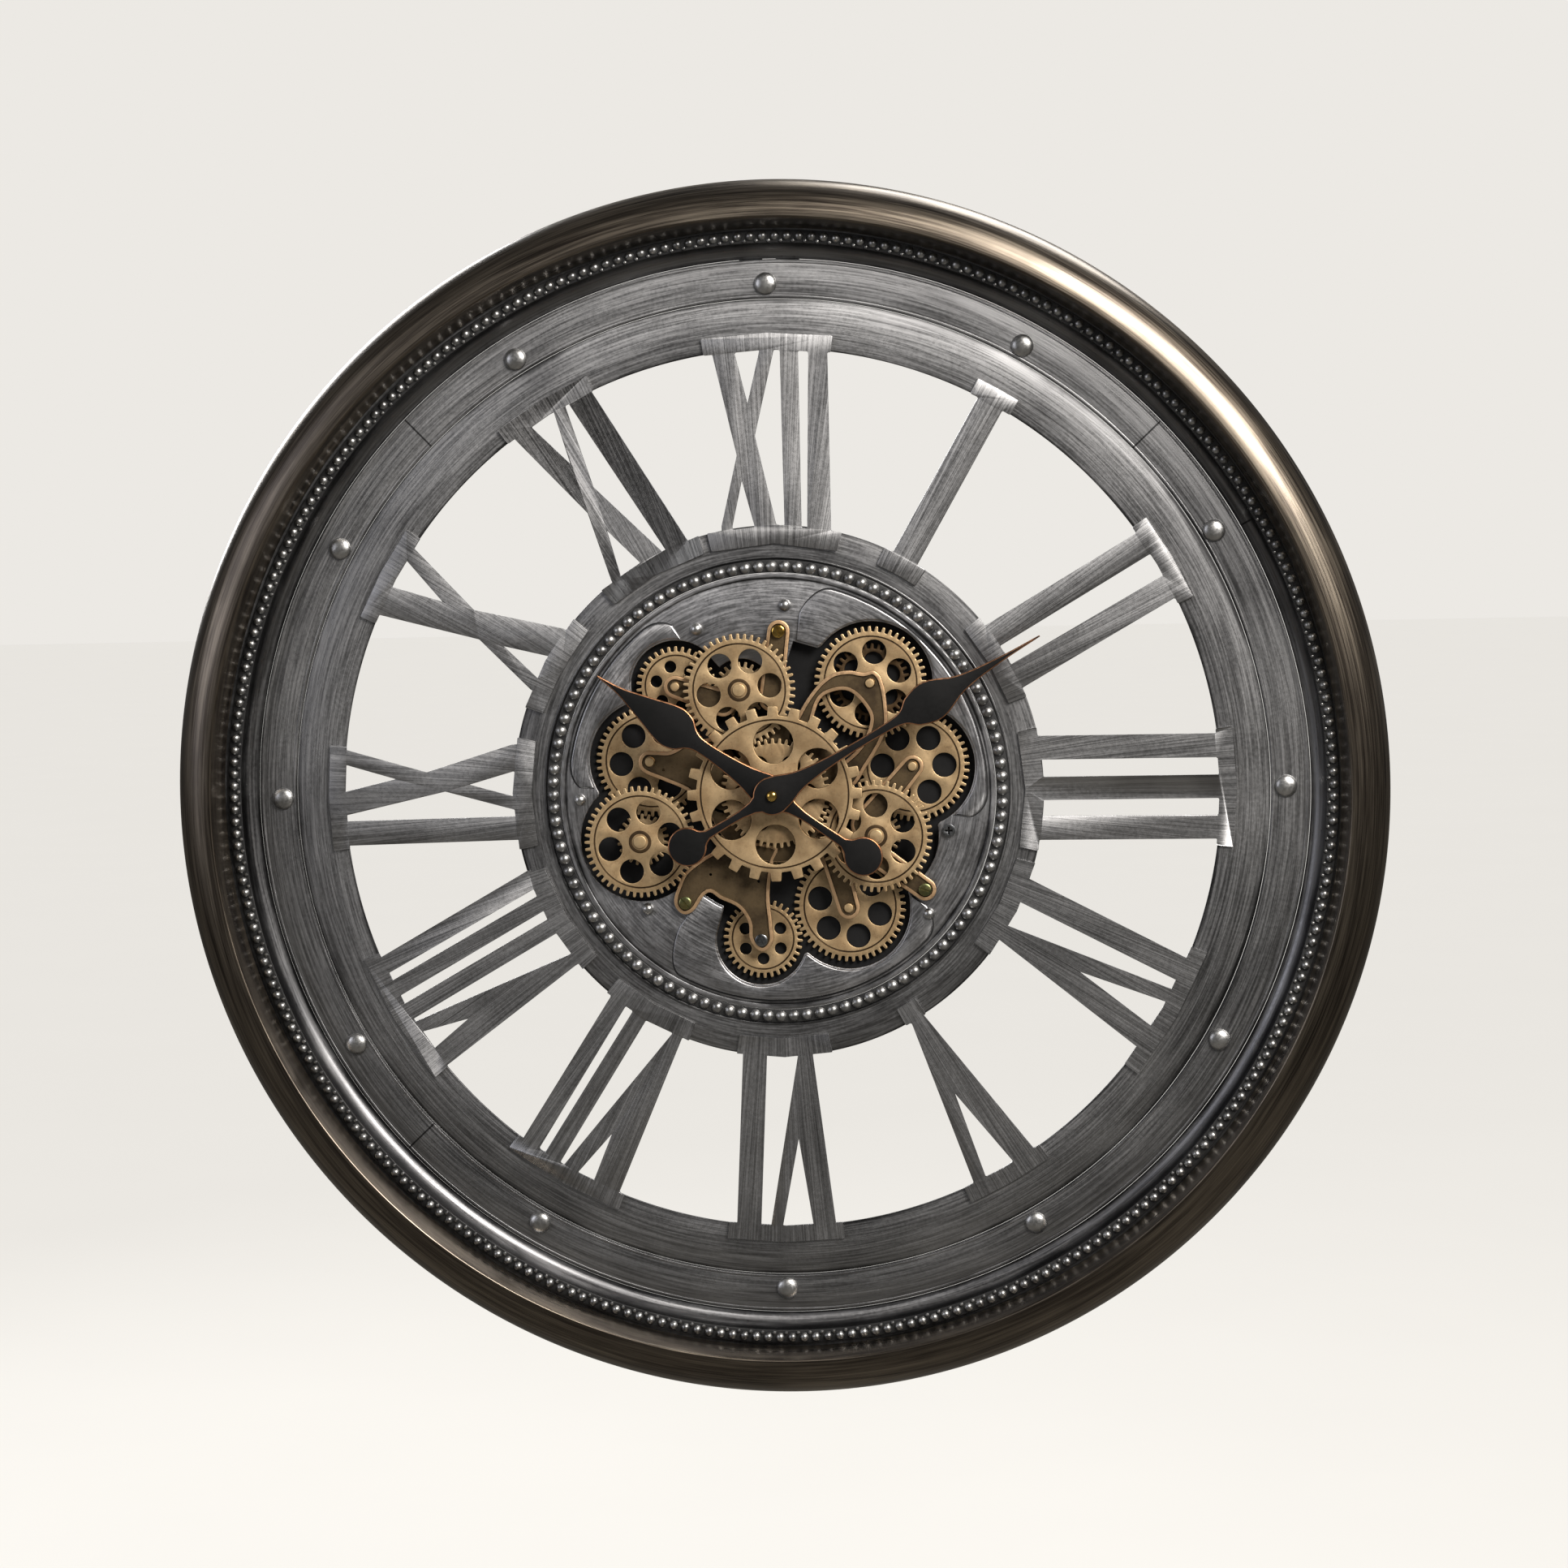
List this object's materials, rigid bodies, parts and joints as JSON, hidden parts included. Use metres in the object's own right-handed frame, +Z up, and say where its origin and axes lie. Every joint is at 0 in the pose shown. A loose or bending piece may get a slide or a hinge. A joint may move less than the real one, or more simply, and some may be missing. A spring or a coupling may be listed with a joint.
{
  "type": "wall clock",
  "caption": "Round skeleton wall clock with a rolled metal rim, riveted rings, cut-out Roman numerals, spade hands and a medallion of meshing gears.",
  "frame": {"origin": "on the hands' axis, in the plane of the wall, at the back face of the quartz movement", "axes": "+Z up to twelve o'clock, -Y out of the dial towards the room, +X to three o'clock"},
  "size_m": [0.8, 0.066, 0.8],
  "materials": {
    "rim_bronze": "antique bronze, brushed round the rim, satin",
    "ring_gunmetal": "gunmetal grey, brushed round the ring, satin",
    "numeral_gunmetal": "gunmetal grey, brushed along the strokes",
    "medallion_gunmetal": "pressed gunmetal with dark patina in its lines",
    "bead_pewter": "dark pewter with bright crowns",
    "rivet_pewter": "pewter, worn bright on the dome",
    "gear_brass": "antique brass, matt, dark patina in its recesses",
    "bridge_brass": "dark antique brass with rubbed edges",
    "black_enamel": "matt black",
    "hand_black": "matt black with copper rubbed through at the edges",
    "nut_brass": "polished brass",
    "screw_steel": "aged zinc",
    "black_plastic": "moulded black, fine texture",
    "cell_jacket": "plain shrink jacket on a steel can, no lettering"
  },
  "bodies": {
    "case": {"bezel_rim": "rim_bronze", "outer_bead_trim": "bead_pewter", "cove_ring": "ring_gunmetal", "rivet_band": "ring_gunmetal", "chapter_ring": "ring_gunmetal", "ring_rivet_1": "rivet_pewter", "ring_rivet_2": "rivet_pewter", "ring_rivet_3": "rivet_pewter", "ring_rivet_4": "rivet_pewter", "ring_rivet_5": "rivet_pewter", "ring_rivet_6": "rivet_pewter", "ring_rivet_7": "rivet_pewter", "ring_rivet_8": "rivet_pewter", "ring_rivet_9": "rivet_pewter", "ring_rivet_10": "rivet_pewter", "ring_rivet_11": "rivet_pewter", "ring_rivet_12": "rivet_pewter", "hanger_plate": "black_enamel", "hub_ring": "ring_gunmetal", "inner_bead_trim": "bead_pewter", "medallion_plate": "medallion_gunmetal", "gear_pan": "black_enamel", "spider_bridge": "bridge_brass", "bridge_screw_top": "screw_steel", "bridge_screw_right": "screw_steel", "bridge_screw_left": "screw_steel", "numeral_1": "numeral_gunmetal", "numeral_2": "numeral_gunmetal", "numeral_3": "numeral_gunmetal", "numeral_4": "numeral_gunmetal", "numeral_5": "numeral_gunmetal", "numeral_6": "numeral_gunmetal", "numeral_7": "numeral_gunmetal", "numeral_8": "numeral_gunmetal", "numeral_9": "numeral_gunmetal", "numeral_10": "numeral_gunmetal", "numeral_11": "numeral_gunmetal", "numeral_12": "numeral_gunmetal", "quartz_movement": "black_plastic", "clock_cell": "cell_jacket", "gear_motor": "black_plastic", "motor_cell": "cell_jacket"},
    "centre_train": {"centre_gear": "gear_brass", "drive_wheel_rear": "gear_brass", "drive_wheel_front": "gear_brass"},
    "gear_top_left_body": {"gear_top_left": "gear_brass"},
    "gear_small_upper_body": {"gear_small_upper": "gear_brass"},
    "gear_top_right_body": {"gear_top_right": "gear_brass"},
    "gear_left_body": {"gear_left": "gear_brass"},
    "gear_lower_left_body": {"gear_lower_left": "gear_brass"},
    "gear_right_body": {"gear_right": "gear_brass"},
    "gear_lower_right_body": {"gear_lower_right": "gear_brass"},
    "gear_bottom_right_body": {"gear_bottom_right": "gear_brass"},
    "gear_small_lower_body": {"gear_small_lower": "gear_brass"},
    "minute": {"minute_hand": "hand_black", "hand_nut": "nut_brass"},
    "hour": {"hour_hand": "hand_black"},
    "knob": {"set_knob": "black_plastic"}
  },
  "joints": [
    {"name": "centre_spin", "type": "hinge", "parent": "case", "child": "centre_train", "pos_m": [0, -0.044, 0], "axis": [0, 1, 0], "continuous": true},
    {"name": "gear_top_left_spin", "type": "hinge", "parent": "case", "child": "gear_top_left_body", "pos_m": [-0.02255, -0.03, 0.06859], "axis": [0, 1, 0], "continuous": true},
    {"name": "gear_small_upper_spin", "type": "hinge", "parent": "case", "child": "gear_small_upper_body", "pos_m": [-0.06579, -0.03, 0.07125], "axis": [0, 1, 0], "continuous": true},
    {"name": "gear_top_right_spin", "type": "hinge", "parent": "case", "child": "gear_top_right_body", "pos_m": [0.06358, -0.03, 0.0716], "axis": [0, 1, 0], "continuous": true},
    {"name": "gear_left_spin", "type": "hinge", "parent": "case", "child": "gear_left_body", "pos_m": [-0.08392, -0.03, 0.02155], "axis": [0, 1, 0], "continuous": true},
    {"name": "gear_lower_left_spin", "type": "hinge", "parent": "case", "child": "gear_lower_left_body", "pos_m": [-0.09102, -0.03, -0.03118], "axis": [0, 1, 0], "continuous": true},
    {"name": "gear_right_spin", "type": "hinge", "parent": "case", "child": "gear_right_body", "pos_m": [0.09066, -0.03, 0.01632], "axis": [0, 1, 0], "continuous": true},
    {"name": "gear_lower_right_spin", "type": "hinge", "parent": "case", "child": "gear_lower_right_body", "pos_m": [0.06606, -0.03, -0.02914], "axis": [0, 1, 0], "continuous": true},
    {"name": "gear_bottom_right_spin", "type": "hinge", "parent": "case", "child": "gear_bottom_right_body", "pos_m": [0.04674, -0.03, -0.07707], "axis": [0, 1, 0], "continuous": true},
    {"name": "gear_small_lower_spin", "type": "hinge", "parent": "case", "child": "gear_small_lower_body", "pos_m": [-0.01187, -0.03, -0.09824], "axis": [0, 1, 0], "continuous": true},
    {"name": "minute_turn", "type": "hinge", "parent": "case", "child": "minute", "pos_m": [0, -0.05, 0], "axis": [0, 1, 0], "continuous": true},
    {"name": "hour_turn", "type": "hinge", "parent": "case", "child": "hour", "pos_m": [0, -0.045, 0], "axis": [0, 1, 0], "continuous": true},
    {"name": "knob_turn", "type": "hinge", "parent": "case", "child": "knob", "pos_m": [0, -0.002, 0.015], "axis": [0, 1, 0], "continuous": true}
  ],
  "couplings": [
    {"joint": "gear_top_left_spin", "follows": "centre_spin", "ratio": -0.97917},
    {"joint": "gear_small_upper_spin", "follows": "centre_spin", "ratio": 0.66238},
    {"joint": "gear_top_right_spin", "follows": "centre_spin", "ratio": -0.59343},
    {"joint": "gear_left_spin", "follows": "centre_spin", "ratio": -1.375},
    {"joint": "gear_lower_left_spin", "follows": "centre_spin", "ratio": 3},
    {"joint": "gear_right_spin", "follows": "centre_spin", "ratio": 0.40799},
    {"joint": "gear_lower_right_spin", "follows": "centre_spin", "ratio": -0.97917},
    {"joint": "gear_bottom_right_spin", "follows": "centre_spin", "ratio": 0.40799},
    {"joint": "gear_small_lower_spin", "follows": "centre_spin", "ratio": -0.57598},
    {"joint": "hour_turn", "follows": "minute_turn", "ratio": 0.083333},
    {"joint": "knob_turn", "follows": "minute_turn", "ratio": -0.33333}
  ]
}
